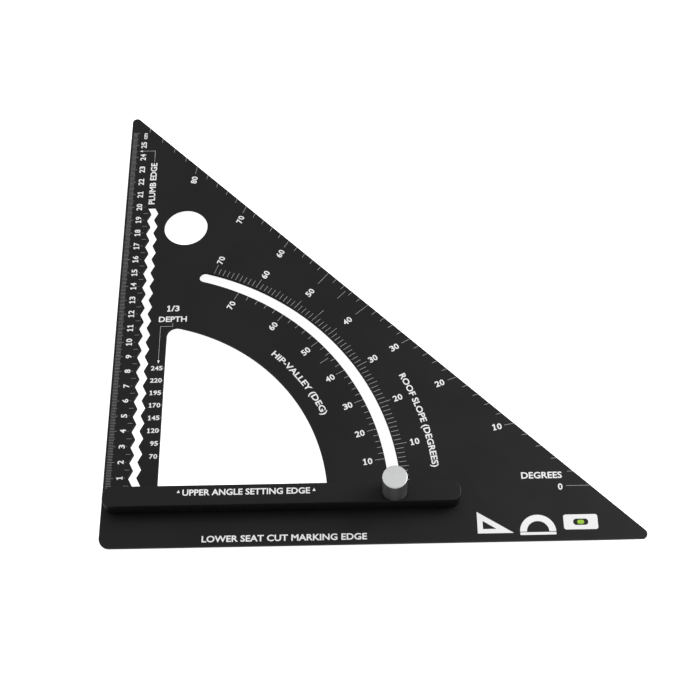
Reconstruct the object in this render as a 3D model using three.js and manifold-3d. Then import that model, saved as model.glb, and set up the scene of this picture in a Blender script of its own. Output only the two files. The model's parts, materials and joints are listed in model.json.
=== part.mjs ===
// Adjustable speed square: a triangular plate between two fence bars, which swing about a pivot near
// the heel and are clamped by a knurled knob whose bolt runs in an arc slot.
// Millimetres, +Z up. The scales face up. The lower bar's underside is at Z = 0, the plate's long edges
// lie along X and Y, and the origin is under the centre of the plate's bounding square.

import * as THREE from "three";
import { mergeVertices } from "three/addons/utils/BufferGeometryUtils.js";
import Module from "manifold-3d";

const wasm = await Module();
wasm.setup();

// Plate
const LEG = 308.9; // each square edge, measured to the sharp corners
const PLATE_T = 2;
const HEEL_R = 6; // the right-angled corner
const TIP_R = 2.9; // the two 45 degree corners
const PLATE_SPAN = LEG - Math.SQRT2 * TIP_R; // the rounded plate's size along X and along Y
const PIVOT = new THREE.Vector2(8.4, 27);
const HANG_HOLE = new THREE.Vector2(39.1, 216.6);
const HANG_HOLE_R = 13.6;

// Fence bars, in the bars' own plane: X from the pivot along the bar, Y across it
const BAR_H = 10;
const BAR_START = -6.5;
const BAR_END = 193.9;
const EDGE_ABOVE = 5.7; // the setting edge above the pivot's axis
const EDGE_BELOW = 6.4;
const BAR_CORNER_R = 5;
const SETTING_EDGE_Y = PIVOT.y + EDGE_ABOVE; // at 0 degrees, and the zero of the ruler

// Arc slot for the lock bolt
const SLOT_R = 157.7;
const SLOT_HALF = 3.45;
const SLOT_FROM = THREE.MathUtils.degToRad(-0.3);
const SLOT_TO = THREE.MathUtils.degToRad(73.7);

// Window
const WINDOW_LEFT = 31;
const WINDOW_BOTTOM = SETTING_EDGE_Y + 1.3;
const WINDOW_R = 119.3;
const WINDOW_FILLET = 6;

// Saw-tooth slot for a pencil point, one tooth for each centimetre of the ruler
const TOOTH_PITCH = 10;
const TOOTH_COUNT = 20;
const TOOTH_LEFT = 13.9;
const TOOTH_DEPTH = 2.5;
const TOOTH_SLOT_W = 4.75;

// Pivot screw and its seats
const SHOULDER_R = 3;
const PIVOT_HEAD_R = 4.4;
const PIVOT_HEAD_H = 2.4;
const PIVOT_SOCKET_R = 1.5; // hexagon socket, corner to corner halved
const PIVOT_SOCKET_DEPTH = 1.5;
const PIVOT_THREAD_R = 2;
const PIVOT_THREAD_L = 5;
const PIVOT_SINK_DEPTH = 4; // counterbore in the lower bar
const PIVOT_SINK_R = 4.8;
const BUSH_R = 4.2;
const INSERT_R = 3.6;
const INSERT_L = 6.5;
const WAVE_WASHER_T = 0.6;

// Glide washers, each standing out of its recess to touch the plate
const GLIDE_R = 5;
const GLIDE_T = 1.2;
const GLIDE_PROUD = 0.25;

// Lock bolt and its seats
const LOCK_R = 157; // distance from the pivot
const BOLT_R = 2.5;
const BOLT_HEAD_R = 4.62; // corner radius of an 8 mm hexagon
const BOLT_HEAD_H = 3.5;
const BOLT_POCKET_DEPTH = 4.2;
const BOLT_L = 29.5; // under the head

// Knob
const KNOB_R = 7;
const KNOB_H = 17.6;
const KNOB_CHAMFER = 0.6;
const KNOB_GAP = 0.35; // between the clamped knob's foot and the bar
const KNOB_FOOT_R = 5.9; // recess for the washer and the disc spring
const KNOB_FOOT_DEPTH = 1.9;
const KNOB_BORE_R = 4;
const KNOB_BORE_L = 10;
const THRUST_R = 5.6;
const THRUST_T = 1;
const DISC_R = 5.2;
const DISC_T = 0.5;
const DISC_RISE = 0.35;

// Clearances
const RUNNING = 0.1; // radial, round a shaft or a seated ring
const TOUCH = 0.05; // between faces that rest on each other
const BAR_GAP = 0.3; // between each bar and the plate

// Levels above the lower bar's underside
const PLATE_Z = BAR_H + BAR_GAP;
const PLATE_TOP = PLATE_Z + PLATE_T;
const UPPER_Z = PLATE_TOP + BAR_GAP;
const UPPER_TOP = UPPER_Z + BAR_H;
const KNOB_Z = UPPER_TOP + KNOB_GAP;

const ROUND = 48; // sides of a turned piece
const CURVE = 24; // divisions of a curve, doubled on arcs
const SAME_POINT = 0.002;

function finish(color, roughness, metalness) {
  return { color, roughness, metalness };
}

const BLACK_ANODISED = finish(0x2a2a2b, 0.55, 0.4);
const BLACK_BAR = finish(0x262627, 0.5, 0.3);
const BRIGHT_ALUMINIUM = finish(0xc8c9c9, 0.3, 0.9);
const ZINC_STEEL = finish(0xb4b6b8, 0.35, 0.9);
const SPRING_STEEL = finish(0x6f7276, 0.35, 0.9);
const BRASS = finish(0xb9954a, 0.35, 0.9);
const BRONZE = finish(0xa87b4f, 0.4, 0.8);
const ACETAL = finish(0xe6e4dc, 0.5, 0);

// A geometry as a closed solid for joining and cutting.
function solid(geometry) {
  const bare = geometry.clone();
  bare.deleteAttribute("normal");
  bare.deleteAttribute("uv");
  const merged = mergeVertices(bare, 1e-4);
  return new wasm.Manifold(
    new wasm.Mesh({
      numProp: 3,
      vertProperties: new Float32Array(merged.attributes.position.array),
      triVerts: new Uint32Array(merged.index.array),
    }),
  );
}

// A solid back as a flat-shaded geometry.
function facets(body) {
  const { vertProperties, triVerts } = body.getMesh();
  const shared = new THREE.BufferGeometry();
  shared.setAttribute("position", new THREE.BufferAttribute(vertProperties, 3));
  shared.setIndex(new THREE.BufferAttribute(triVerts, 1));
  const geometry = shared.toNonIndexed();
  geometry.computeVertexNormals();
  return geometry;
}

// The geometry of base with every cutter taken out of it.
function cut(base, cutters) {
  return facets(cutters.reduce((rest, cutter) => rest.subtract(solid(cutter)), solid(base)));
}

// A path's points, with those that fall on their neighbour left out.
function corners(path) {
  const points = path.getPoints(CURVE);
  return points.filter((p, i) => p.distanceTo(points.at(i - 1)) > SAME_POINT);
}

// A flat outline raised from z0 to z1.
function prism(outline, z0, z1) {
  const shape = new THREE.Shape(corners(outline));
  const options = { depth: z1 - z0, bevelEnabled: false };
  return new THREE.ExtrudeGeometry(shape, options).translate(0, 0, z0);
}

// A closed profile of [radius, height] corners, anticlockwise, turned about the Z axis.
function turned(profile) {
  const points = profile.map(([r, z]) => new THREE.Vector2(r, z));
  if (profile[0][0] > 0) points.push(points[0].clone());
  return new THREE.LatheGeometry(points, ROUND).rotateX(Math.PI / 2);
}

function disc(r, z0, z1) {
  return turned([[0, z0], [r, z0], [r, z1], [0, z1]]);
}

function ring(inner, outer, z0, z1) {
  return turned([[inner, z0], [outer, z0], [outer, z1], [inner, z1]]);
}

// A hexagonal prism, r to its corners, with two flats facing along the bar.
function hexagon(r, z0, z1) {
  return new THREE.CylinderGeometry(r, r, z1 - z0, 6)
    .rotateX(Math.PI / 2)
    .rotateZ(Math.PI / 6)
    .translate(0, 0, (z0 + z1) / 2);
}

function piece(name, geometry, look) {
  const mesh = new THREE.Mesh(geometry, new THREE.MeshStandardMaterial(look));
  mesh.name = name;
  return mesh;
}

// The triangle, with arcs at its three corners.
function plateOutline() {
  const reach = TIP_R * (1 + Math.SQRT2); // from a sharp tip to where its arc starts
  const shape = new THREE.Shape();
  shape.absarc(HEEL_R, HEEL_R, HEEL_R, Math.PI, 1.5 * Math.PI);
  shape.absarc(LEG - reach, TIP_R, TIP_R, -Math.PI / 2, Math.PI / 4);
  shape.absarc(TIP_R, LEG - reach, TIP_R, Math.PI / 4, Math.PI);
  shape.closePath();
  return shape;
}

// Two concentric arcs about the pivot, joined by round ends.
function arcSlot() {
  const path = new THREE.Path();
  const end = new THREE.Vector2(SLOT_R, 0).rotateAround(new THREE.Vector2(), SLOT_TO).add(PIVOT);
  const start = new THREE.Vector2(SLOT_R, 0).rotateAround(new THREE.Vector2(), SLOT_FROM).add(PIVOT);
  path.absarc(PIVOT.x, PIVOT.y, SLOT_R + SLOT_HALF, SLOT_FROM, SLOT_TO);
  path.absarc(end.x, end.y, SLOT_HALF, SLOT_TO, SLOT_TO + Math.PI);
  path.absarc(PIVOT.x, PIVOT.y, SLOT_R - SLOT_HALF, SLOT_TO, SLOT_FROM, true);
  path.absarc(start.x, start.y, SLOT_HALF, SLOT_FROM - Math.PI, SLOT_FROM);
  return path;
}

// A quarter-round opening about the pivot, with a rounded upper left corner.
function windowOpening() {
  const path = new THREE.Path();
  const bottom = WINDOW_BOTTOM - PIVOT.y;
  const right = Math.sqrt(WINDOW_R ** 2 - bottom ** 2);
  const filletX = WINDOW_LEFT - PIVOT.x + WINDOW_FILLET;
  const filletY = Math.sqrt((WINDOW_R - WINDOW_FILLET) ** 2 - filletX ** 2);
  const filletAngle = Math.atan2(filletY, filletX);
  path.moveTo(WINDOW_LEFT, WINDOW_BOTTOM);
  path.lineTo(PIVOT.x + right, WINDOW_BOTTOM);
  path.absarc(PIVOT.x, PIVOT.y, WINDOW_R, Math.atan2(bottom, right), filletAngle);
  path.absarc(PIVOT.x + filletX, PIVOT.y + filletY, WINDOW_FILLET, filletAngle, Math.PI);
  path.closePath();
  return path;
}

// How far a tooth leans out at height y above the ruler's zero: 0 on a centimetre, full halfway.
function toothLean(y) {
  const phase = (y / TOOTH_PITCH) % 1;
  return TOOTH_DEPTH * (1 - Math.abs(2 * phase - 1));
}

// Two parallel saw-tooth walls, from just above the setting edge to the ruler's last tooth.
function toothedSlot() {
  const heights = [WINDOW_BOTTOM - SETTING_EDGE_Y];
  for (let y = TOOTH_PITCH / 2; y <= TOOTH_COUNT * TOOTH_PITCH; y += TOOTH_PITCH / 2) heights.push(y);
  const wall = (x) => heights.map((y) => new THREE.Vector2(x + toothLean(y), SETTING_EDGE_Y + y));
  return new THREE.Path([...wall(TOOTH_LEFT + TOOTH_SLOT_W), ...wall(TOOTH_LEFT).reverse()]);
}

function roundHole(centre, r) {
  return new THREE.Path().absarc(centre.x, centre.y, r, 0, 2 * Math.PI);
}

function plate() {
  const openings = [arcSlot(), windowOpening(), toothedSlot()];
  const rounds = [roundHole(HANG_HOLE, HANG_HOLE_R), roundHole(PIVOT, BUSH_R + TOUCH)];
  const cutters = [...openings, ...rounds].map((path) => prism(path, PLATE_Z - 1, PLATE_TOP + 1));
  return piece("plate", cut(prism(plateOutline(), PLATE_Z, PLATE_TOP), cutters), BLACK_ANODISED);
}

function pivotBush() {
  const bush = piece("pivot_bush", ring(SHOULDER_R + TOUCH, BUSH_R, PLATE_Z, PLATE_TOP), BRONZE);
  bush.position.set(PIVOT.x, PIVOT.y, 0);
  return bush;
}

// A bar's plan, with the pivot at the origin.
function barPlan() {
  const shape = new THREE.Shape();
  const left = BAR_START + BAR_CORNER_R;
  const right = BAR_END - BAR_CORNER_R;
  const low = BAR_CORNER_R - EDGE_BELOW;
  const high = EDGE_ABOVE - BAR_CORNER_R;
  shape.absarc(left, low, BAR_CORNER_R, Math.PI, 1.5 * Math.PI);
  shape.absarc(right, low, BAR_CORNER_R, 1.5 * Math.PI, 2 * Math.PI);
  shape.absarc(right, high, BAR_CORNER_R, 0, 0.5 * Math.PI);
  shape.absarc(left, high, BAR_CORNER_R, 0.5 * Math.PI, Math.PI);
  shape.closePath();
  return shape;
}

function upperBar() {
  const recess = UPPER_Z + GLIDE_T - GLIDE_PROUD + TOUCH;
  const base = prism(barPlan(), UPPER_Z, UPPER_TOP);
  const cutters = [
    disc(GLIDE_R + RUNNING, UPPER_Z - 1, recess),
    disc(INSERT_R + TOUCH, UPPER_Z - 1, recess + INSERT_L + 1),
    disc(GLIDE_R + RUNNING, UPPER_Z - 1, recess).translate(LOCK_R, 0, 0),
    disc(BOLT_R + RUNNING, UPPER_Z - 1, UPPER_TOP + 1).translate(LOCK_R, 0, 0),
  ];
  return piece("upper_bar", cut(base, cutters), BLACK_BAR);
}

function lowerBar() {
  const recess = BAR_H - GLIDE_T + GLIDE_PROUD - TOUCH;
  const base = prism(barPlan(), 0, BAR_H);
  const cutters = [
    disc(GLIDE_R + RUNNING, recess, BAR_H + 1),
    disc(SHOULDER_R + RUNNING, -1, BAR_H + 1),
    disc(PIVOT_SINK_R, -1, PIVOT_SINK_DEPTH),
    disc(GLIDE_R + RUNNING, recess, BAR_H + 1).translate(LOCK_R, 0, 0),
    disc(BOLT_R + RUNNING, -1, BAR_H + 1).translate(LOCK_R, 0, 0),
    hexagon(BOLT_HEAD_R + RUNNING, -1, BOLT_POCKET_DEPTH).translate(LOCK_R, 0, 0),
  ];
  return piece("lower_bar", cut(base, cutters), BLACK_BAR);
}

// A glide washer above the plate, or below it.
function glide(name, x, inner, above) {
  const near = above ? PLATE_TOP : PLATE_Z;
  const side = above ? 1 : -1;
  const faces = [near + side * TOUCH, near + side * (TOUCH + GLIDE_T)].sort((a, b) => a - b);
  const washer = piece(name, ring(inner + RUNNING, GLIDE_R, ...faces), ACETAL);
  washer.position.x = x;
  return washer;
}

// Shoulder screw: a sunk head, a shoulder through the lower bar and the bush, and a threaded end.
function pivotScrew() {
  const headTop = PIVOT_SINK_DEPTH - WAVE_WASHER_T - 2 * TOUCH;
  const head = headTop - PIVOT_HEAD_H;
  const shoulder = UPPER_Z + GLIDE_T - GLIDE_PROUD;
  const body = turned([
    [0, head],
    [PIVOT_HEAD_R, head],
    [PIVOT_HEAD_R, headTop],
    [SHOULDER_R, headTop],
    [SHOULDER_R, shoulder],
    [PIVOT_THREAD_R, shoulder],
    [PIVOT_THREAD_R, shoulder + PIVOT_THREAD_L],
    [0, shoulder + PIVOT_THREAD_L],
  ]);
  const socket = hexagon(PIVOT_SOCKET_R, head - 1, head + PIVOT_SOCKET_DEPTH);
  return piece("pivot_screw", cut(body, [socket]), ZINC_STEEL);
}

function pivotWaveWasher() {
  const top = PIVOT_SINK_DEPTH - TOUCH;
  const washer = ring(SHOULDER_R + RUNNING, PIVOT_HEAD_R, top - WAVE_WASHER_T, top);
  return piece("pivot_wave_washer", washer, SPRING_STEEL);
}

// Threaded insert sunk in the upper bar, closed at its top.
function pivotInsert() {
  const foot = UPPER_Z + GLIDE_T - GLIDE_PROUD + 2 * TOUCH;
  const bore = PIVOT_THREAD_R + TOUCH;
  const bored = foot + PIVOT_THREAD_L + 0.4;
  const body = cut(disc(INSERT_R, foot, foot + INSERT_L), [disc(bore, foot - 1, bored)]);
  return piece("pivot_insert", body, BRASS);
}

// Hexagon-head bolt standing through both bars and the slot into the knob.
function lockBolt() {
  const headTop = BOLT_POCKET_DEPTH - TOUCH;
  const tip = headTop + BOLT_L;
  const head = solid(hexagon(BOLT_HEAD_R, headTop - BOLT_HEAD_H, headTop));
  const shank = solid(disc(BOLT_R, headTop - 1, tip));
  return piece("lock_bolt", facets(head.add(shank)), ZINC_STEEL);
}

// A coned ring under the thrust washer.
function discSpring() {
  const inner = BOLT_R + RUNNING;
  const foot = UPPER_TOP + TOUCH;
  return piece(
    "disc_spring",
    turned([
      [inner, foot + DISC_RISE],
      [DISC_R, foot],
      [DISC_R, foot + DISC_T],
      [inner, foot + DISC_RISE + DISC_T],
    ]),
    SPRING_STEEL,
  );
}

function thrustWasher() {
  const foot = UPPER_TOP + 2 * TOUCH + DISC_RISE + DISC_T;
  return piece("thrust_washer", ring(BOLT_R + RUNNING, THRUST_R, foot, foot + THRUST_T), ZINC_STEEL);
}

// The knob's turned body: a recess in its foot, and a blind bore for the insert.
function knob() {
  const top = KNOB_Z + KNOB_H;
  const recess = KNOB_Z + KNOB_FOOT_DEPTH;
  return piece(
    "knob",
    turned([
      [KNOB_FOOT_R, KNOB_Z],
      [KNOB_R - KNOB_CHAMFER, KNOB_Z],
      [KNOB_R, KNOB_Z + KNOB_CHAMFER],
      [KNOB_R, top - KNOB_CHAMFER],
      [KNOB_R - KNOB_CHAMFER, top],
      [0, top],
      [0, recess + KNOB_BORE_L],
      [KNOB_BORE_R, recess + KNOB_BORE_L],
      [KNOB_BORE_R, recess],
      [KNOB_FOOT_R, recess],
    ]),
    BRIGHT_ALUMINIUM,
  );
}

function knobInsert() {
  const foot = KNOB_Z + KNOB_FOOT_DEPTH;
  return piece(
    "knob_insert",
    ring(BOLT_R + TOUCH, KNOB_BORE_R - TOUCH, foot, foot + KNOB_BORE_L - 0.5),
    BRASS,
  );
}

// Everything on the lock bolt's axis.
function lockStack() {
  const stack = new THREE.Group();
  stack.position.x = LOCK_R;
  stack.add(lockBolt(), discSpring(), thrustWasher(), knob(), knobInsert());
  return stack;
}

// Both bars and what turns with them, with the pivot's axis at the group's origin.
function fence() {
  const group = new THREE.Group();
  group.position.set(PIVOT.x, PIVOT.y, 0);
  group.add(upperBar(), lowerBar(), pivotScrew(), pivotWaveWasher(), pivotInsert(), lockStack());
  for (const above of [true, false]) {
    const side = above ? "upper" : "lower";
    group.add(glide(`pivot_glide_${side}`, 0, SHOULDER_R, above));
    group.add(glide(`lock_glide_${side}`, LOCK_R, BOLT_R, above));
  }
  return group;
}

const square = new THREE.Group();
square.position.set(-PLATE_SPAN / 2, -PLATE_SPAN / 2, 0);
square.add(plate(), pivotBush(), fence());

export default square;
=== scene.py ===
# %% [markdown]
# # An adjustable speed square
# A speed square is a roofer's triangle. This one has a thin black plate with printed scales, and a
# fence of two bars that swings about a pivot near the heel. A knurled knob clamps the fence anywhere
# along an arc slot. The lesson builds what can be seen and what is hidden inside, one piece at a time,
# round a frame of plain solids that already has every size and every joint.

import json
from math import atan2, cos, degrees, pi, radians, sin, sqrt, tan

import bmesh
import bpy
from mathutils import Matrix, Quaternion, Vector
from mathutils.geometry import tessellate_polygon


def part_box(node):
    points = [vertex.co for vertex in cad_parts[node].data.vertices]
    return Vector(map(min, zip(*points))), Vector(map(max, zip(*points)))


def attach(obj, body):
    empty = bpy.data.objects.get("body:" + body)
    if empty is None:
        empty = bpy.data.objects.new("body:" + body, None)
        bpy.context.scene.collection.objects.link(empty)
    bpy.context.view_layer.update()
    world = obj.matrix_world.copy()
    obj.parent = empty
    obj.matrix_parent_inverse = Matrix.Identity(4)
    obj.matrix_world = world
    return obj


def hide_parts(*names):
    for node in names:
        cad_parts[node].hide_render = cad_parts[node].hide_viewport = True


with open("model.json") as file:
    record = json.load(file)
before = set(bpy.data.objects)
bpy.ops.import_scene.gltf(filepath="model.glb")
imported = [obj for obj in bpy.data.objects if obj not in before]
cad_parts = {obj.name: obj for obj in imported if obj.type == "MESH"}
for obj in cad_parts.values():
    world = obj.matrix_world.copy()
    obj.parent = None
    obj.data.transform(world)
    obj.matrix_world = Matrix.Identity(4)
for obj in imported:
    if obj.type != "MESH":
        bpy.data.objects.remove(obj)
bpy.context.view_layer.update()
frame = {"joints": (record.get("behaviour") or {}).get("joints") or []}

# %% [markdown]
# ## Places and sizes
# Squares are laid out from the heel, the right-angled corner, so the lesson works in millimetres from
# there: X runs along the bottom edge, Y along the ruler, Z up. Each finished mesh is carried into the
# frame's metres once, at the end. Levels and the two axes come from the frame, so they cannot drift.

# %% Sizes from the frame
MM = 0.001


def levels(node):
    """A node's lowest and highest level, in millimetres."""
    low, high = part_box(node)
    return low.z / MM, high.z / MM


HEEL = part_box("plate")[0]
FROM_HEEL = Matrix.Translation((HEEL.x, HEEL.y, 0)) @ Matrix.Scale(MM, 4)
JOINTS = {joint["name"]: joint for joint in frame["joints"]}


def axis_place(joint):
    """Where a hinge's axis stands, in millimetres from the heel."""
    place = Vector(JOINTS[joint]["pos_m"])
    return (place.x - HEEL.x) / MM, (place.y - HEEL.y) / MM


PIVOT = axis_place("fence_swing")
LOCK = axis_place("knob_turn")
PLATE_UNDER, PLATE_TOP = levels("plate")
BAR_UNDER, BAR_TOP = levels("upper_bar")
LOW_BAR_UNDER, LOW_BAR_TOP = levels("lower_bar")
KNOB_FOOT, KNOB_TOP = levels("knob")
TIP_R = 2.9
LEG = (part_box("plate")[1].x - HEEL.x) / MM + sqrt(2) * TIP_R
print("pivot", [round(v, 2) for v in PIVOT], "lock", [round(v, 2) for v in LOCK], "leg", round(LEG, 2))

# %% [markdown]
# ## Three ways to make a machined shape
# Nearly every piece is cut from sheet, turned on a lathe, or both. So there are three helpers: one
# raises a flat outline, openings included, and rounds its edges; one turns a profile about an axis;
# and one cuts or joins solids with a Boolean. Real edges are never razor sharp, and a rounding of a
# tenth of a millimetre is what catches the light.


# %% Raise a flat outline with rounded edges
def solid(name, points, faces):
    mesh = bpy.data.meshes.new(name)
    mesh.from_pydata(points, [], faces)
    mesh.update()
    piece = bpy.data.objects.new(name, mesh)
    bpy.context.scene.collection.objects.link(piece)
    return piece


def arc(centre, radius, start, end, step=3.0):
    """Points along an arc, with angles in degrees and about step degrees between points."""
    count = max(2, round(abs(end - start) / step))
    angles = [radians(start + (end - start) * i / count) for i in range(count + 1)]
    return [Vector((centre[0] + radius * cos(a), centre[1] + radius * sin(a))) for a in angles]


def rounded_box(left, low, right, high, radius, step=10):
    """The outline of a box with round corners."""
    corners = [(left, low, 180), (right, low, 270), (right, high, 0), (left, high, 90)]
    outline = []
    for x, y, start in corners:
        centre = (x + radius if x == left else x - radius, y + radius if y == low else y - radius)
        outline += arc(centre, radius, start, start + 90, step)
    return outline


def turns_left(loop):
    return sum(a.cross(b) for a, b in zip(loop, loop[1:] + loop[:1])) > 0


def pulled_in(loop, distance):
    """A loop moved towards its left by distance, with its corners kept sharp."""
    moved = []
    for before, here, after in zip(loop[-1:] + loop[:-1], loop, loop[1:] + loop[:1]):
        first = (here - before).normalized().orthogonal()
        second = (after - here).normalized().orthogonal()
        moved.append(here + (first + second) * distance / (1 + first.dot(second)))
    return moved


def rounding(edge, low, high, steps):
    """Pairs of inset and level that round a wall's lower and upper edges."""
    quarter = [radians(90 * i / steps) for i in range(steps + 1)] if edge else [pi / 2]
    lower = [(edge * (1 - sin(a)), low + edge * (1 - cos(a))) for a in quarter]
    return lower + [(inset, low + high - level) for inset, level in reversed(lower)]


def slab(name, outline, low, high, edge=0.0, holes=(), steps=3):
    """A flat solid with through holes. The material lies to the left of every loop."""
    loops = [outline if turns_left(outline) else outline[::-1]]
    loops += [hole[::-1] if turns_left(hole) else hole for hole in holes]
    wall = rounding(edge, low, high, steps)
    points, faces, floor, roof = [], [], [], []
    for loop in loops:
        size, first = len(loop), len(points)
        for inset, level in wall:
            points += [(*p, level) for p in pulled_in(loop, inset)]
        for a in range(first, first + (len(wall) - 1) * size, size):
            pairs = [(a + i, a + (i + 1) % size) for i in range(size)]
            faces += [(left, right, right + size, left + size) for left, right in pairs]
        floor += range(first, first + size)
        roof += range(first + (len(wall) - 1) * size, len(points))
    rims = [[Vector((*p, 0)) for p in pulled_in(loop, wall[0][0])] for loop in loops]
    corners = [corner for rim in rims for corner in rim]
    for triangle in tessellate_polygon(rims):
        a, b, c = (corners[i] for i in triangle)
        up = triangle if (b - a).cross(c - a).z > 0 else triangle[::-1]
        faces += [tuple(roof[i] for i in up), tuple(floor[i] for i in reversed(up))]
    return solid(name, points, faces)


# %% Turn a profile on the lathe
def softened(profile, edge):
    """A profile of (radius, level) corners with each corner cut back by edge and rounded."""
    corners = [Vector(corner) for corner in profile]
    smooth = []
    for i, here in enumerate(corners):
        before, after = corners[i - 1], corners[(i + 1) % len(corners)]
        if here.x < 1e-6:
            smooth.append(here)
            continue
        back = here + (before - here).normalized() * min(edge, (before - here).length * 0.45)
        on = here + (after - here).normalized() * min(edge, (after - here).length * 0.45)
        smooth += [back, (back + 2 * here + on) / 4, on]
    return [tuple(corner) for corner in smooth]


def turned(name, profile, centre=(0, 0), sides=96, warp=None, closed=True):
    """An anticlockwise profile turned about Z. Warp may change (radius, level) at each angle.

    Without closed, the last corner isn't joined to the first, so the shape can be joined to another.
    """
    points, faces, rings = [], [], []
    for radius, level in profile:
        if radius < 1e-6:
            rings.append([len(points)] * sides)
            points.append((*centre, level))
            continue
        rings.append(list(range(len(points), len(points) + sides)))
        for i in range(sides):
            angle = 2 * pi * i / sides
            r, z = warp(radius, level, angle) if warp else (radius, level)
            points.append((centre[0] + r * cos(angle), centre[1] + r * sin(angle), z))
    for lower, upper in zip(rings, rings[1:] + rings[:1] if closed else rings[1:]):
        for i in range(sides):
            j = (i + 1) % sides
            face = list(dict.fromkeys((lower[i], lower[j], upper[j], upper[i])))
            if len(face) > 2:
                faces.append(face)
    return solid(name, points, faces)


def bore(centre, start, *steps):
    """A cutter for a stepped round hole. Each step has a radius and the level it reaches."""
    profile = [(0, start)]
    for radius, reach in steps:
        profile += [(radius, profile[-1][1]), (radius, reach)]
    return turned("cutter", profile + [(0, steps[-1][1])], centre)


# %% Cut and join solids
def evaluated_mesh(piece):
    graph = bpy.context.evaluated_depsgraph_get()
    return bpy.data.meshes.new_from_object(piece.evaluated_get(graph))


def combined(piece, others, operation="DIFFERENCE"):
    """The piece after a Boolean with each of the others, which are then removed."""
    for other in others:
        step = piece.modifiers.new("boolean", "BOOLEAN")
        step.operation, step.solver, step.object = operation, "EXACT", other
    mesh = evaluated_mesh(piece)
    piece.modifiers.clear()
    piece.data = mesh
    for other in others:
        bpy.data.objects.remove(other)
    return piece


# %% Finish a piece
SHARP, LEVEL = radians(32), 0.9999
MERGE, SLIVER = 0.0004, 0.0002
made = {}


def finished(piece, name, body, finish, node=None, sharp=SHARP):
    """Carries a piece into the frame, shades it, dresses it and sets it on its body."""
    mesh = piece.data
    piece.name = mesh.name = name
    shell = bmesh.new()
    shell.from_mesh(mesh)
    bmesh.ops.remove_doubles(shell, verts=shell.verts, dist=MERGE)
    bmesh.ops.dissolve_degenerate(shell, dist=SLIVER, edges=shell.edges)
    bmesh.ops.recalc_face_normals(shell, faces=shell.faces)
    shell.to_mesh(mesh)
    open_edges = sum(not edge.is_manifold for edge in shell.edges)
    shell.free()
    mesh.transform(FROM_HEEL)
    mesh.set_sharp_from_angle(angle=sharp)
    for face in mesh.polygons:
        face.use_smooth = abs(face.normal.z) < LEVEL
    if finish:
        mesh.materials.clear()
        mesh.materials.append(finish)
    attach(piece, body)
    if node:
        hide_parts(node)
    made[name] = (len(mesh.polygons), open_edges)
    print(f"{name}: {len(mesh.polygons)} faces, {open_edges} open edges")
    return piece


# %% [markdown]
# ## Shared surface effects
# Some effects turn up in several finishes, so each is a shader node group: a fine grain with larger
# smudges where hands have been, and bare metal where an edge has rubbed. The rings that a lathe tool
# leaves are a third, ready for any turned face. A group gives out only masks and heights. Each finish
# keeps its own shader, and decides how strongly a mask counts.


# %% Node helpers
def feed(socket, value):
    """Links an output or a signal to a socket, or sets the socket to a plain value."""
    if isinstance(value, Signal):
        value = value.socket
    if isinstance(value, bpy.types.NodeSocket):
        socket.id_data.links.new(value, socket)
    else:
        socket.default_value = value


def in_order(tree, kind, *values, **settings):
    """A new node with its settings made, and its inputs set in order."""
    node = tree.nodes.new(kind)
    for label, value in settings.items():
        setattr(node, label, value)
    for socket, value in zip(node.inputs, values):
        feed(socket, value)
    return node


class Signal:
    """A node's output that sums can be written with. Each step of a sum adds one Math node."""

    def __init__(self, socket):
        self.socket = socket

    def to(self, operation, *others):
        tree = self.socket.id_data
        return Signal(in_order(tree, "ShaderNodeMath", self, *others, operation=operation).outputs[0])

    def __add__(self, other):
        return self.to("ADD", other)

    def __sub__(self, other):
        return self.to("SUBTRACT", other)

    def __mul__(self, other):
        return self.to("MULTIPLY", other)

    def __truediv__(self, other):
        return self.to("DIVIDE", other)


def signals(sockets):
    """A node's outputs by label, as signals."""
    return {socket.name: Signal(socket) for socket in sockets}


def wired(tree, kind, group=None, **inputs):
    """The outputs of a new node, by label, whose inputs are set by label."""
    node = tree.nodes.new(kind)
    if group:
        node.node_tree = group
    for label, value in inputs.items():
        feed(node.inputs[label.replace("_", " ")], value)
    return node.outputs


def out(tree, kind, **inputs):
    """The first output of a new node, as a signal."""
    return Signal(wired(tree, kind, **inputs)[0])


def new_group(name, inputs, outputs):
    """A shader group with number inputs and outputs. Vector comes first among the inputs."""
    group = bpy.data.node_groups.new(name, "ShaderNodeTree")
    group.interface.new_socket("Vector", in_out="INPUT", socket_type="NodeSocketVector")
    for label, value in inputs.items():
        socket = group.interface.new_socket(label, in_out="INPUT", socket_type="NodeSocketFloat")
        socket.default_value = value
    for label in outputs:
        group.interface.new_socket(label, in_out="OUTPUT", socket_type="NodeSocketFloat")
    entry = signals(wired(group, "NodeGroupInput"))
    return group, entry, group.nodes.new("NodeGroupOutput").inputs


def spread(value, low, high, to_low, to_high):
    """A signal carried from one range to another, and held at its ends."""
    tree = value.socket.id_data
    return out(
        tree, "ShaderNodeMapRange",
        Value=value, From_Min=low, From_Max=high, To_Min=to_low, To_Max=to_high,
    )


# %% Grain and smudges
def grain_group():
    group, entry, leave = new_group(
        "grain_and_smudges",
        {"Grain Scale": 4000.0, "Smudge Scale": 30.0, "Smudge Strength": 0.05, "Roughness": 0.45},
        ["Height", "Roughness", "Mottle"],
    )
    noise, vector = "ShaderNodeTexNoise", entry["Vector"]
    fine = out(group, noise, Vector=vector, Scale=entry["Grain Scale"], Detail=2.0)
    wide = out(group, noise, Vector=vector, Scale=entry["Smudge Scale"], Detail=4.0)
    smudge = spread(wide, 0.35, 0.65, -1.0, 1.0)
    speck = spread(fine, 0.3, 0.7, -0.03, 0.03)
    feed(leave["Height"], fine)
    feed(leave["Roughness"], entry["Roughness"] + smudge * entry["Smudge Strength"] + speck)
    feed(leave["Mottle"], fine * wide)
    return group


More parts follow.
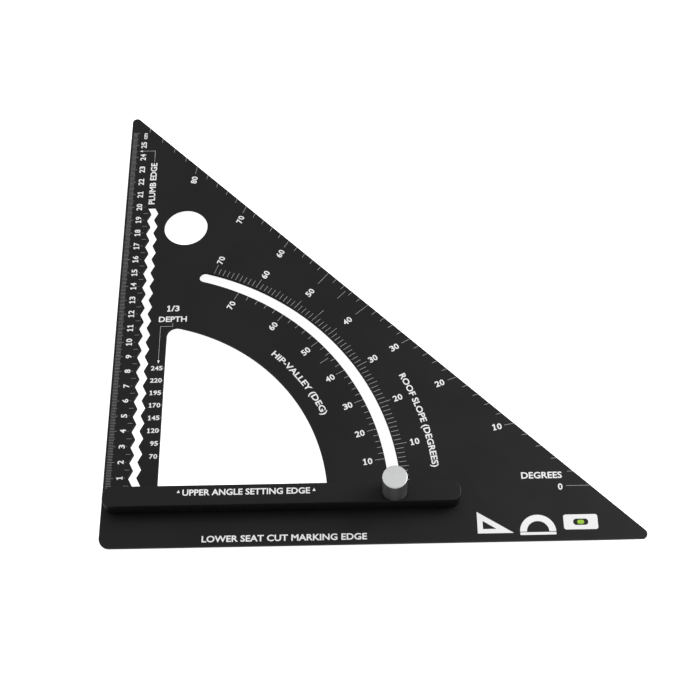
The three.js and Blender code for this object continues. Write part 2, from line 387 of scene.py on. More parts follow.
# %% Lathe rings
def rings_group():
    group, entry, leave = new_group("lathe_rings", {"Rings per Metre": 6000.0}, ["Height"])
    place = signals(wired(group, "ShaderNodeSeparateXYZ", Vector=entry["Vector"]))
    radius = (place["X"] * place["X"] + place["Y"] * place["Y"]).to("SQRT")
    unrolled = out(group, "ShaderNodeCombineXYZ", X=radius * entry["Rings per Metre"])
    feed(leave["Height"], out(group, "ShaderNodeTexNoise", Vector=unrolled, Scale=1.0, Detail=3.0))
    return group


# %% Rubbed edges
def rubbed_group():
    group, entry, leave = new_group(
        "rubbed_edges", {"Width": 0.0004, "Strength": 1.0, "Patch Scale": 60.0}, ["Mask"]
    )
    bevelled = in_order(group, "ShaderNodeBevel", entry["Width"], samples=6).outputs[0]
    normal = wired(group, "ShaderNodeNewGeometry")["Normal"]
    turn = in_order(group, "ShaderNodeVectorMath", bevelled, normal, operation="DOT_PRODUCT")
    edge = spread(Signal(turn.outputs["Value"]), 0.97, 0.8, 0.0, 1.0)
    patches = out(
        group, "ShaderNodeTexNoise", Vector=entry["Vector"], Scale=entry["Patch Scale"], Detail=5.0
    )
    feed(leave["Mask"], edge * spread(patches, 0.42, 0.68, 0.0, 1.0) * entry["Strength"])
    return group


GRAIN, RINGS, RUBBED = grain_group(), rings_group(), rubbed_group()
print("shader groups:", [group.name for group in (GRAIN, RINGS, RUBBED)])

# %% [markdown]
# ## Finishes
# The plate and bars are aluminium, blasted to a matt surface and anodised black. Anodising is a thin
# hard glassy skin, so it is modelled as a very dark non-metal with a soft sheen. The knob is bare
# turned aluminium, though its knurled band and foot get that aluminium painted near black, as painted
# shade. The screws are zinc plated, the washers spring steel, the inserts brass, the bush porous
# bronze, and the glides white acetal. The scales are printed in thin white ink.


# %% Build a finish from its grain, its rubbed edges and its turning marks
def placed_coordinates(tree, centre=(0, 0, 0), stretch=(1, 1, 1)):
    """Object coordinates measured from a centre, with the pattern stretched along X, Y and Z."""
    values = wired(tree, "ShaderNodeTexCoord")["Object"], centre, (0, 0, 0), stretch
    return in_order(tree, "ShaderNodeMapping", *values, vector_type="TEXTURE").outputs[0]


def grouped(tree, group, **inputs):
    return signals(wired(tree, "ShaderNodeGroup", group, **inputs))


def blended(tree, amount, first, second):
    """A colour between two, by a mask."""
    node = tree.nodes.new("ShaderNodeMix")
    node.data_type = "RGBA"
    for place, value in {0: amount, 6: first, 7: second}.items():
        feed(node.inputs[place], value)
    return node.outputs[2]


def new_material(name):
    """A material with nothing but its output, whose surface socket is returned with its tree."""
    material = bpy.data.materials.new(name)
    material.use_nodes = True
    tree = material.node_tree
    tree.nodes.clear()
    return material, tree, tree.nodes.new("ShaderNodeOutputMaterial").inputs["Surface"]


def finish(
    name, dark, light, metallic, roughness, grain_scale, grain_depth,
    smudge=0.04, specular=0.5, bare=None, wear=0.0, wear_width=0.0004,
    rings=0.0, ring_depth=0.0, centre=(0, 0, 0), stretch=(1, 1, 1),
):
    """A finish between two near colours, with grain, smudges, turning rings and rubbed edges."""
    material, tree, surface = new_material(name)
    vector = placed_coordinates(tree, centre, stretch)
    grain = grouped(
        tree, GRAIN, Vector=vector, Grain_Scale=grain_scale, Smudge_Strength=smudge, Roughness=roughness
    )
    colour = blended(tree, spread(grain["Mottle"], 0.15, 0.35, 0.0, 1.0), (*dark, 1), (*light, 1))
    height = grain["Height"]
    if rings:
        lines = grouped(tree, RINGS, Vector=vector, Rings_per_Metre=rings)["Height"]
        share = ring_depth / (ring_depth + grain_depth)
        height = lines * share + height * (1 - share)
    metal = metallic
    if bare:
        worn = grouped(tree, RUBBED, Vector=vector, Strength=wear, Width=wear_width)["Mask"]
        colour = blended(tree, worn, colour, (*bare, 1))
        metal = worn.to("MAXIMUM", metallic)
    depth = grain_depth + ring_depth
    shader = out(
        tree, "ShaderNodeBsdfPrincipled",
        Base_Color=colour, Metallic=metal, Roughness=grain["Roughness"], Specular_IOR_Level=specular,
        Normal=out(tree, "ShaderNodeBump", Strength=1.0, Distance=depth, Height=height),
    )
    feed(surface, shader)
    return material


# %% The finishes of this square
def grey(value):
    return (value, value, value)


KNOB_AXIS = tuple(FROM_HEEL @ Vector((*LOCK, 0)))
PIVOT_AXIS = tuple(FROM_HEEL @ Vector((*PIVOT, 0)))
BARE_ALUMINIUM = (0.62, 0.63, 0.64)
PLATE_BLACK = finish(
    "plate_black_anodised", grey(0.0038), grey(0.0050), 0.0, 0.44, 3600, 0.000012,
    smudge=0.035, specular=0.3, bare=BARE_ALUMINIUM, wear=0.3, wear_width=0.00025,
)
BAR_BLACK = finish(
    "bar_black_anodised", grey(0.0030), grey(0.0040), 0.0, 0.46, 3600, 0.000012,
    smudge=0.03, specular=0.3, bare=BARE_ALUMINIUM, wear=0.2, wear_width=0.0004, stretch=(8, 1, 1),
)
KNOB_BRIGHT = finish(
    "knob_turned_aluminium", (0.73, 0.735, 0.735), (0.79, 0.795, 0.795), 1.0, 0.5, 5000, 0.0000006,
    rings=5200, ring_depth=0.0000004, centre=KNOB_AXIS,
)
# Painted shade: the knob's own aluminium painted near black for the knurled side and foot, which face
# away from the lamps. Its lighter rubbed crests are wear, dimmed with the rest.
KNOB_PAINTED_SHADE = finish(
    "knob_aluminium_painted_shade", (0.062, 0.062, 0.064), (0.092, 0.092, 0.095), 1.0, 0.38, 5000, 0.000004,
    bare=(0.5, 0.5, 0.5), wear=0.6, wear_width=0.00012, centre=KNOB_AXIS,
)
ZINC = finish(
    "zinc_plated_steel", (0.46, 0.47, 0.49), (0.6, 0.61, 0.62), 1.0, 0.32, 1400, 0.000004,
    bare=(0.75, 0.75, 0.75), wear=0.6, wear_width=0.0002, centre=PIVOT_AXIS,
)
SPRING_STEEL = finish(
    "blue_grey_spring_steel", (0.16, 0.17, 0.19), (0.26, 0.27, 0.29), 1.0, 0.35, 2500, 0.000003,
)
BRASS = finish("machined_brass", (0.6, 0.42, 0.16), (0.72, 0.52, 0.22), 1.0, 0.3, 3000, 0.000003)
BRONZE = finish("porous_bronze", (0.28, 0.16, 0.08), (0.48, 0.3, 0.16), 1.0, 0.45, 3500, 0.00001)
ACETAL = finish("white_acetal", (0.74, 0.73, 0.7), (0.8, 0.79, 0.76), 0.0, 0.42, 1800, 0.000003)
WHITE_INK = finish("white_ink", grey(0.76), grey(0.84), 0.0, 0.55, 5000, 0.000004)
GREY_INK = finish("thin_grey_ink", grey(0.40), grey(0.48), 0.0, 0.55, 5000, 0.000004)
GREEN_INK = finish("green_ink", (0.27, 0.5, 0.02), (0.33, 0.57, 0.03), 0.0, 0.55, 5000, 0.000004)
print("finishes:", len(bpy.data.materials))

# %% [markdown]
# ## The plate
# The plate is a right-angled triangle with two equal legs, laser cut from 2 mm aluminium sheet. It
# has an arc slot for the clamp, a quarter-round window for sighting and marking, a saw-tooth slot
# that holds a pencil point at each centimetre, a hanging hole, and a small hole for the pivot bush.
# It could be a Boolean of many cutters, but a flat outline with holes is exactly what the laser
# follows, so the loops are written once and raised together, with every edge rounded a little.

# %% The plate's outline and openings
HEEL_R = 6
SLOT_R, SLOT_HALF = 157.7, 3.45
SLOT_FROM, SLOT_TO = -0.3, 73.7
EDGE_ABOVE = 5.7
SETTING_EDGE = PIVOT[1] + EDGE_ABOVE
WINDOW_LEFT, WINDOW_BOTTOM = 31, SETTING_EDGE + 1.3
WINDOW_R, WINDOW_FILLET = 119.3, 6
TOOTH_LEFT, TOOTH_DEPTH, TOOTH_PITCH, TOOTH_COUNT, TOOTH_SLOT = 13.9, 2.5, 10, 20, 4.75
HANG_HOLE, HANG_HOLE_R = (39.1, 216.6), 13.6
BUSH_SEAT_R = 4.25


def degrees_of(x, y):
    return degrees(atan2(y, x))


def polar(centre, radius, degrees):
    return (centre[0] + radius * cos(radians(degrees)), centre[1] + radius * sin(radians(degrees)))


def plate_outline():
    reach = TIP_R * (1 + sqrt(2))
    heel = arc((HEEL_R, HEEL_R), HEEL_R, 180, 270, 6)
    right_tip = arc((LEG - reach, TIP_R), TIP_R, -90, 45, 9)
    top_tip = arc((TIP_R, LEG - reach), TIP_R, 45, 180, 9)
    return heel + right_tip + top_tip


def arc_slot():
    outer = arc(PIVOT, SLOT_R + SLOT_HALF, SLOT_FROM, SLOT_TO, 1.0)
    far = arc(polar(PIVOT, SLOT_R, SLOT_TO), SLOT_HALF, SLOT_TO, SLOT_TO + 180, 8)
    inner = arc(PIVOT, SLOT_R - SLOT_HALF, SLOT_TO, SLOT_FROM, 1.0)
    near = arc(polar(PIVOT, SLOT_R, SLOT_FROM), SLOT_HALF, SLOT_FROM - 180, SLOT_FROM, 8)
    return outer + far[1:-1] + inner + near[1:-1]


def window_opening():
    bottom = WINDOW_BOTTOM - PIVOT[1]
    right = sqrt(WINDOW_R**2 - bottom**2)
    fillet_x = WINDOW_LEFT - PIVOT[0] + WINDOW_FILLET
    fillet_y = sqrt((WINDOW_R - WINDOW_FILLET) ** 2 - fillet_x**2)
    turn = degrees_of(fillet_x, fillet_y)
    sweep = arc(PIVOT, WINDOW_R, degrees_of(right, bottom), turn, 1.0)
    fillet = arc((PIVOT[0] + fillet_x, PIVOT[1] + fillet_y), WINDOW_FILLET, turn, 180, 8)
    return [Vector((WINDOW_LEFT, WINDOW_BOTTOM))] + sweep + fillet[1:]


def tooth_lean(height):
    """How far the saw-tooth wall leans out: nothing on a centimetre, most at the half."""
    return TOOTH_DEPTH * (1 - abs(2 * (height / TOOTH_PITCH % 1) - 1))


def toothed_slot():
    halves = [TOOTH_PITCH / 2 * i for i in range(1, 2 * TOOTH_COUNT + 1)]
    heights = [WINDOW_BOTTOM - SETTING_EDGE] + halves
    left = [Vector((TOOTH_LEFT + tooth_lean(h), SETTING_EDGE + h)) for h in heights]
    right = [p + Vector((TOOTH_SLOT, 0)) for p in left]
    return right + left[::-1]


# %% Cut the plate
PLATE_EDGE = 0.12
round_holes = [arc(HANG_HOLE, HANG_HOLE_R, 0, 356, 4), arc(PIVOT, BUSH_SEAT_R, 0, 352, 8)]
plate = slab(
    "plate", plate_outline(), PLATE_UNDER, PLATE_TOP, PLATE_EDGE,
    holes=[arc_slot(), window_opening(), toothed_slot(), *round_holes],
)
finished(plate, "plate_sheet", "square", PLATE_BLACK, "plate")

# %% [markdown]
# ## The fence bars
# Two flat aluminium bars, 10 mm deep, clasp the plate from above and below and swing as one. The
# upper bar's long edge sets the angle, and either bar hooks over the edge of a timber. Their plan is
# a rectangle with round corners, so the same outline makes both. Recesses for the glides, the bolt's
# hexagonal pocket and the pivot screw's counterbore are cut afterwards, as they are on the real bars.

# %% Sizes of the bars and their recesses
BAR_START, BAR_END = -6.5, 193.9
EDGE_BELOW, BAR_CORNER_R, BAR_EDGE = 6.4, 5, 0.45
GLIDE_R, GLIDE_T, GLIDE_PROUD = 5, 1.2, 0.25
SHOULDER_R, BOLT_R, RUNNING, TOUCH = 3, 2.5, 0.1, 0.05
PIVOT_SINK_R, PIVOT_SINK_DEPTH = 4.85, 4
BOLT_POCKET_DEPTH, BOLT_HEAD_R = 4.2, 4.62
INSERT_R, INSERT_L = 3.6, 6.5
BEYOND = 1


def hexagon(radius, centre):
    """Six corners, with two flats facing along the bar."""
    return [Vector(polar(centre, radius, 30 + 60 * i)) for i in range(6)]


def bar_plan():
    x, y = PIVOT
    return rounded_box(x + BAR_START, y - EDGE_BELOW, x + BAR_END, y + EDGE_ABOVE, BAR_CORNER_R, 6)


# %% Make both bars
recess_up = BAR_UNDER + GLIDE_T - GLIDE_PROUD + TOUCH
recess_down = LOW_BAR_TOP - GLIDE_T + GLIDE_PROUD - TOUCH
insert_top = recess_up + INSERT_L + BEYOND
glide_hole, bolt_hole, shoulder_hole = GLIDE_R + RUNNING, BOLT_R + RUNNING, SHOULDER_R + RUNNING

upper_bar = combined(
    slab("upper_bar", bar_plan(), BAR_UNDER, BAR_TOP, BAR_EDGE, steps=5),
    [
        bore(PIVOT, BAR_UNDER - BEYOND, (glide_hole, recess_up), (INSERT_R + TOUCH, insert_top)),
        bore(LOCK, BAR_UNDER - BEYOND, (glide_hole, recess_up), (bolt_hole, BAR_TOP + BEYOND)),
    ],
)
finished(upper_bar, "upper_fence_bar", "fence", BAR_BLACK, "upper_bar")

above = LOW_BAR_TOP + BEYOND
pocket = slab("cutter", hexagon(BOLT_HEAD_R + RUNNING, LOCK), -BEYOND, BOLT_POCKET_DEPTH)
lower_bar = combined(
    slab("lower_bar", bar_plan(), LOW_BAR_UNDER, LOW_BAR_TOP, BAR_EDGE, steps=5),
    [
        bore(
            PIVOT, -BEYOND,
            (PIVOT_SINK_R, PIVOT_SINK_DEPTH), (shoulder_hole, recess_down), (glide_hole, above),
        ),
        bore(LOCK, -BEYOND, (bolt_hole, recess_down), (glide_hole, above)),
        pocket,
    ],
)
finished(lower_bar, "lower_fence_bar", "fence", BAR_BLACK, "lower_bar")

# %% [markdown]
# ## The knurled knob
# Knurling presses a diamond pattern into a turned knob so that dusty fingers can grip it. The pattern
# is two sets of straight grooves that cross, so its height follows a short rule: unroll the wall, take
# a triangle wave along each diagonal, and keep the lower of the two. That is work for Geometry Nodes:
# a flat grid is wrapped round the knob, and the rule moves each point in or out. The turned ends are
# then joined to the knurled band, so the knob stays one closed solid.


# %% Helpers for Geometry Nodes trees
def new_tree(name, sizes):
    """A tree with one number input for each size, a Finish input, and a geometry output."""
    tree = bpy.data.node_groups.new(name, "GeometryNodeTree")
    for label, value in sizes.items():
        kind = "NodeSocketInt" if isinstance(value, int) else "NodeSocketFloat"
        tree.interface.new_socket(label, in_out="INPUT", socket_type=kind).default_value = value
    tree.interface.new_socket("Finish", in_out="INPUT", socket_type="NodeSocketMaterial")
    tree.interface.new_socket("Geometry", in_out="OUTPUT", socket_type="NodeSocketGeometry")
    return tree, signals(wired(tree, "NodeGroupInput"))


def closing(tree, geometry, entry):
    """The tree's last two steps: real geometry, then its finish."""
    real = out(tree, "GeometryNodeRealizeInstances", Geometry=geometry)
    dressed = out(tree, "GeometryNodeSetMaterial", Geometry=real, Material=entry["Finish"])
    wired(tree, "NodeGroupOutput", Geometry=dressed)
    return tree


def grown(tree, material, **sizes):
    """A new object that holds what the tree makes with these sizes."""
    host = solid("host", [(0, 0, 0)], [])
    step = host.modifiers.new("tree", "NODES")
    step.node_group = tree
    values = {label.replace("_", " "): value for label, value in sizes.items()} | {"Finish": material}
    for socket in tree.interface.items_tree:
        if socket.in_out == "INPUT" and socket.name in values:
            step[socket.identifier] = values[socket.name]
    host.data.update()
    mesh = evaluated_mesh(host)
    host.modifiers.clear()
    host.data = mesh
    return host


# %% The knurl tree
def knurl_tree():
    sizes = {
        "Diamonds Around": 40, "Half Rows": 27, "Points per Half": 3,
        "Radius": 7.0, "Depth": 0.34, "Crest": 0.7, "Low": 0.0, "High": 16.0, "Run Out": 0.5,
    }
    tree, entry = new_tree("diamond_knurl", sizes)
    across = entry["Diamonds Around"] * 2
    columns = across * entry["Points per Half"]
    rows = entry["Half Rows"] * entry["Points per Half"]
    grid = wired(
        tree, "GeometryNodeMeshGrid",
        Size_X=1.0, Size_Y=1.0, Vertices_X=columns + 1, Vertices_Y=rows + 1,
    )["Mesh"]
    flat = out(tree, "GeometryNodeInputPosition")
    place = signals(wired(tree, "ShaderNodeSeparateXYZ", Vector=flat))
    share_round, share_up = place["X"] + 0.5, place["Y"] + 0.5
    u, v = share_round * across, share_up * entry["Half Rows"]
    one_way, other_way = (u + v).to("PINGPONG", 1), (u - v).to("PINGPONG", 1)
    blunt = one_way.to("MINIMUM", other_way).to("MINIMUM", entry["Crest"]) / entry["Crest"]
    band = entry["High"] - entry["Low"]
    rise = share_up * band
    to_end = rise.to("MINIMUM", band - rise)
    fade = (to_end / entry["Run Out"]).to("MINIMUM", 1)
    radius = entry["Radius"] - entry["Depth"] + blunt * fade * entry["Depth"]
    angle = share_round * (2 * pi)
    wrapped = out(
        tree, "ShaderNodeCombineXYZ",
        X=radius * angle.to("COSINE"), Y=radius * angle.to("SINE"), Z=entry["Low"] + rise,
    )
    bent = out(tree, "GeometryNodeSetPosition", Geometry=grid, Position=wrapped)
    return closing(tree, bent, entry)


# %% Make the knob
KNOB_R, KNURL_DEPTH, KNOB_CHAMFER, DIAMONDS, HALF_ROWS = 7, 0.5, 0.6, 30, 21
KNOB_FOOT_R, KNOB_FOOT_DEPTH, KNOB_BORE_R, KNOB_BORE_L = 5.9, 1.9, 4, 10
POINTS_PER_HALF = 3
KNURL_LIP, LIP_RISE, FOOT_LIP, FOOT_LIP_DROP = 0.1, 0.12, 0.12, 0.2
KNOB_RIM = [(0.12, 0.32), (0.36, 0.05), (0.44, 0)]
knob_low, knob_high = KNOB_FOOT + KNOB_CHAMFER, KNOB_TOP - KNOB_CHAMFER
knob_root = KNOB_R - KNURL_DEPTH
knob_sides = DIAMONDS * 2 * POINTS_PER_HALF
# The knurled band takes the painted-shade finish, the knob's aluminium painted near black.
band = grown(
    knurl_tree(), KNOB_PAINTED_SHADE, Diamonds_Around=DIAMONDS, Half_Rows=HALF_ROWS,
    Points_per_Half=POINTS_PER_HALF, Radius=KNOB_R, Depth=KNURL_DEPTH, Low=knob_low, High=knob_high,
)


def joined(name, pieces, centre=(0, 0)):
    """Several meshes as one, each moved to the centre, with one slot for each finish."""
    shell = bmesh.new()
    finishes = []
    for piece in pieces:
        piece.data.transform(Matrix.Translation((*centre, 0)))
        own = next((material for material in piece.data.materials if material), None)
        if own not in finishes:
            finishes.append(own)
        before = len(shell.faces)
        shell.from_mesh(piece.data)
        shell.faces.ensure_lookup_table()
        for face in shell.faces[before:]:
            face.material_index = finishes.index(own)
        bpy.data.objects.remove(piece)
    whole = solid(name, [], [])
    shell.to_mesh(whole.data)
    shell.free()
    for material in finishes:
        whole.data.materials.append(material)
    return whole


foot_level = KNOB_FOOT + KNOB_FOOT_DEPTH
bore_top = foot_level + KNOB_BORE_L
lip = KNOB_R - KNURL_LIP
rim = [(KNOB_R - inwards, KNOB_TOP - down) for inwards, down in KNOB_RIM]
top_end = turned(
    "top_end",
    [(knob_root, knob_high), (lip, knob_high + LIP_RISE), *rim, (0, KNOB_TOP)],
    sides=knob_sides, closed=False,
)
foot_end = turned(
    "foot_end",
    [
        (0, bore_top), (KNOB_BORE_R, bore_top), (KNOB_BORE_R, foot_level), (KNOB_FOOT_R, foot_level),
        (KNOB_FOOT_R, KNOB_FOOT), (KNOB_R - KNOB_CHAMFER, KNOB_FOOT),
        (KNOB_R - FOOT_LIP, knob_low - FOOT_LIP_DROP), (lip, knob_low - LIP_RISE), (knob_root, knob_low),
    ],
    sides=knob_sides, closed=False,
)
# The top end keeps the bright aluminium. The foot end takes the painted shade, so its chamfer stays
# dark.
top_end.data.materials.append(KNOB_BRIGHT)
foot_end.data.materials.append(KNOB_PAINTED_SHADE)
knob = joined("knob", [band, top_end, foot_end], LOCK)
finished(knob, "clamp_knob_body", "clamp_knob", None, "knob")

# %% [markdown]
# ## The hidden hardware
# A shoulder screw is the hinge pin: its plain shank turns in a bronze bush pressed into the plate, and
# its thread holds in a brass insert in the upper bar. A wave washer keeps light pressure on the joint.
# Four acetal glides keep the bars off the plate. The clamp is a bolt whose hexagonal head cannot turn
# in its pocket; the knob pulls it up through a disc spring and a thrust washer. All of it is turned,
# so each piece is a profile with softened corners, warped where it has a thread, a wave or ribs.


# %% Plain turned pieces
def ring_profile(inner, outer, low, high, edge):
    return softened([(inner, low), (outer, low), (outer, high), (inner, high)], edge)


def washer(node, name, body, finish_used, inner, outer, centre, edge=0.12):
    low, high = levels(node)
    piece = turned(name, ring_profile(inner, outer, low, high, edge), centre)
    return finished(piece, name, body, finish_used, node)


BUSH_IN_R, BUSH_OUT_R, THRUST_R = 3.05, 4.2, 5.6
washer("pivot_bush", "bronze_pivot_bush", "square", BRONZE, BUSH_IN_R, BUSH_OUT_R, PIVOT, 0.1)
for place, hole, centre in (("pivot", shoulder_hole, PIVOT), ("lock", bolt_hole, LOCK)):
    for side in ("upper", "lower"):
        node, name = f"{place}_glide_{side}", f"{side}_{place}_glide"
        washer(node, name, "fence", ACETAL, hole, GLIDE_R, centre)
washer(
    "thrust_washer", "steel_thrust_washer", "captive_washer", ZINC, bolt_hole, THRUST_R, LOCK
)


# %% Springs
WAVE_T, WAVE_OUT, WAVES = 0.24, 4.4, 3
CONE_T, CONE_IN, CONE_OUT = 0.5, 2.6, 5.2


def wavy(low, high):
    """Lifts a thin washer's rim up and down as it goes round, within its own height."""
    middle, swing = (low + high) / 2, (high - low - WAVE_T) / 2

    def warp(radius, level, angle):
        face = WAVE_T / 2 if level > middle else -WAVE_T / 2
        return radius, middle + swing * sin(WAVES * angle) + face

    return warp


def coned(low, high):
    """Lifts a thin washer's inner rim."""
    def warp(radius, level, angle):
        lift = (high - low - CONE_T) * (CONE_OUT - radius) / (CONE_OUT - CONE_IN)
        return radius, low + lift + (CONE_T if level > (low + high) / 2 else 0)

    return warp


def thin_washer(node, name, inner, outer, centre, warp):
    low, high = levels(node)
    count = 6
    radii = [inner + (outer - inner) * i / count for i in range(count + 1)]
    profile = [(r, low) for r in radii] + [(r, high) for r in reversed(radii)]
    piece = turned(name, profile, centre, 120, warp(low, high))
    return finished(piece, name, "fence", SPRING_STEEL, node)


thin_washer("pivot_wave_washer", "pivot_wave_spring", shoulder_hole, WAVE_OUT, PIVOT, wavy)
thin_washer("disc_spring", "clamp_disc_spring", bolt_hole, CONE_OUT, LOCK, coned)


# %% Threads and ribs
def thread(minor, major, pitch, low, high, steps_per_turn=12):
    """The profile levels and the warp of a single-start thread that fades out at both ends."""
    count = round((high - low) / pitch * steps_per_turn)
    heights = [low + (high - low) * i / count for i in range(count + 1)]

    def warp(radius, level, angle):
        if radius < minor or not low - 1e-6 <= level <= high + 1e-6 or abs(radius - major) > 1e-3:
            return radius, level
        phase = (level / pitch - angle / (2 * pi)) % 1
        crest = 1 - abs(2 * phase - 1)
        ends = min(1, (level - low) / pitch, (high - level) / pitch)
        depth = min(1, max(0, 1.25 * (1 - crest) - 0.1)) * (major - minor) * max(0, ends)
        return major - depth, level

    return [(major, height) for height in heights], warp


def ribbed(outer, depth, count):
    """Presses straight ribs into the outer wall, as on a press-fit insert."""

    def warp(radius, level, angle):
        if abs(radius - outer) > 1e-3:
            return radius, level
        wave = 0.5 + 0.5 * cos(count * angle)
        return radius - depth * (1 - wave), level

    return warp


# %% The pivot screw
HEAD_R, HEAD_EDGE = 4.4, 0.3
SCREW_FOOT, SCREW_TOP = levels("pivot_screw")
HEAD_TOP, SHOULDER_TOP = SCREW_FOOT + 2.4, SCREW_TOP - 5
THREAD_R, SOCKET_R, SOCKET_DEPTH = 2, 1.5, 1.5
screw_thread, screw_warp = thread(THREAD_R - 0.45, THREAD_R, 0.7, SHOULDER_TOP + 0.2, SCREW_TOP - 0.4)
screw_profile = [
    (0, SCREW_FOOT), (HEAD_R - HEAD_EDGE, SCREW_FOOT), (HEAD_R, SCREW_FOOT + HEAD_EDGE),
    (HEAD_R, HEAD_TOP - 0.1), (HEAD_R - 0.1, HEAD_TOP), (SHOULDER_R, HEAD_TOP),
    (SHOULDER_R, SHOULDER_TOP - 0.2), (SHOULDER_R - 0.2, SHOULDER_TOP), (THREAD_R - 0.2, SHOULDER_TOP),
    *screw_thread, (THREAD_R - 0.45, SCREW_TOP), (0, SCREW_TOP),
]
socket_cut = slab("cutter", hexagon(SOCKET_R, PIVOT), SCREW_FOOT - BEYOND, SCREW_FOOT + SOCKET_DEPTH)
screw = combined(turned("screw", screw_profile, PIVOT, 72, screw_warp), [socket_cut])
finished(screw, "shoulder_pivot_screw", "fence", ZINC, "pivot_screw")

# %% The clamp bolt
BOLT_FOOT, BOLT_TIP = levels("lock_bolt")
BOLT_HEAD_TOP = BOLT_FOOT + 3.5
ACROSS_FLATS = BOLT_HEAD_R * sqrt(3)
head_form = turned(
    "cutter",
    [
        (0, BOLT_FOOT), (ACROSS_FLATS / 2 - 0.1, BOLT_FOOT), (BOLT_HEAD_R + 0.1, BOLT_FOOT + 0.45),
        (BOLT_HEAD_R + 0.1, BOLT_HEAD_TOP + BEYOND), (0, BOLT_HEAD_TOP + BEYOND),
    ],
    LOCK,
)
hexagonal = slab("head", hexagon(BOLT_HEAD_R, LOCK), BOLT_FOOT, BOLT_HEAD_TOP)
head = combined(hexagonal, [head_form], "INTERSECT")
bolt_thread, bolt_warp = thread(BOLT_R - 0.45, BOLT_R, 0.8, BOLT_HEAD_TOP + 6, BOLT_TIP - 0.4)
shank_foot = BOLT_HEAD_TOP - 0.5
shank = turned(
    "shank",
    [(0, shank_foot), (BOLT_R, shank_foot), *bolt_thread, (BOLT_R - 0.4, BOLT_TIP), (0, BOLT_TIP)],
    LOCK, 60, bolt_warp,
)
bolt = combined(head, [shank], "UNION")
finished(bolt, "hexagon_clamp_bolt", "fence", ZINC, "lock_bolt")


# %% The brass inserts
RIB_DEPTH, RIBS, RIB_SIDES = 0.12, 24, 144


def brass_insert(node, name, body, outer, centre, profile):
    piece = turned(name, profile, centre, RIB_SIDES, ribbed(outer, RIB_DEPTH, RIBS))
    return finished(piece, name, body, BRASS, node)


low, high = levels("knob_insert")
inner, outer = 2.55, 3.95
third, waist = (high - low) / 3, outer - 0.3
waisted = [
    (inner, low + 0.2), (inner + 0.2, low), (outer - 0.15, low), (outer, low + 0.15),
    (outer, low + third), (waist, low + third + 0.15), (waist, high - third - 0.15),
    (outer, high - third), (outer, high - 0.15), (outer - 0.15, high), (inner + 0.2, high),
    (inner, high - 0.2),
]
brass_insert("knob_insert", "brass_knob_insert", "clamp_knob", outer, LOCK, waisted)

low, high = levels("pivot_insert")
inner, blind_end = 2.05, low + 5.4
blind = [(inner, low), (INSERT_R, low), (INSERT_R, high), (0, high), (0, blind_end), (inner, blind_end)]
brass_insert(
    "pivot_insert", "brass_pivot_insert", "fence", INSERT_R, PIVOT, softened(blind, 0.15)
)

# %% [markdown]
# ## Printed graduations
# The scales are white lines a fifth of a millimetre wide or less. A line is a thin closed block that
# stands a few hundredths of a millimetre off the plate, about as thick as screen ink. Hundreds of
# blocks that follow a rule are just what Geometry Nodes are good at. One tree prints a straight row,
# such as the ruler; a second prints a fan, in which every line stands where the fence's setting edge
# would point. That edge runs beside the pivot, not through it, so each line is set off from its ray by
# that much.

# %% Sizes of the ink
INK, INK_SUNK, LINE, RULER_LINE = 0.03, 0.01, 0.19, 0.12


def divides(number, divisor):
    """1 where a whole number divides evenly, or else 0."""
    return (number + 0.25).to("FLOORED_MODULO", divisor).to("LESS_THAN", 0.5)


def tiered(number, entry):
    """A line's length: Short, or Middle or Long where the number divides evenly."""
    middle = divides(number, entry["Middle Every"]) * (entry["Middle"] - entry["Short"])
    long = divides(number, entry["Long Every"]) * (entry["Long"] - entry["Middle"])
    return entry["Short"] + (middle + long)


def blocks_on(tree, entry, points, length, **turned_by):
    """Puts a block on every point, as long as its tier says, and closes the tree."""
    block = wired(tree, "GeometryNodeMeshCube", Size=(1, 1, 1))["Mesh"]
    from_zero = out(tree, "GeometryNodeTransform", Geometry=block, Translation=(0.5, 0, 0.5))
    size = out(tree, "ShaderNodeCombineXYZ", X=length, Y=entry["Width"], Z=entry["Thickness"])
    blocks = out(
        tree, "GeometryNodeInstanceOnPoints",
        Points=points, Instance=from_zero, Scale=size, **turned_by,
    )
    return closing(tree, blocks, entry)


LINE_SIZES = {
    "Short": 3.0, "Middle": 3.5, "Long": 4.2, "Middle Every": 5, "Long Every": 10,
    "Width": LINE, "Thickness": INK + INK_SUNK,
}


# %% A straight row of lines
def row_tree():
    """Lines along X, stacked up Y."""
    tree, entry = new_tree("row_of_lines", {"Count": 10, "Pitch": 1.0, "First Number": 0} | LINE_SIZES)
    upward = out(tree, "ShaderNodeCombineXYZ", Y=entry["Pitch"])
    points = out(tree, "GeometryNodeMeshLine", Count=entry["Count"], Offset=upward)
    number = out(tree, "GeometryNodeInputIndex") + entry["First Number"]
    return blocks_on(tree, entry, points, tiered(number, entry))


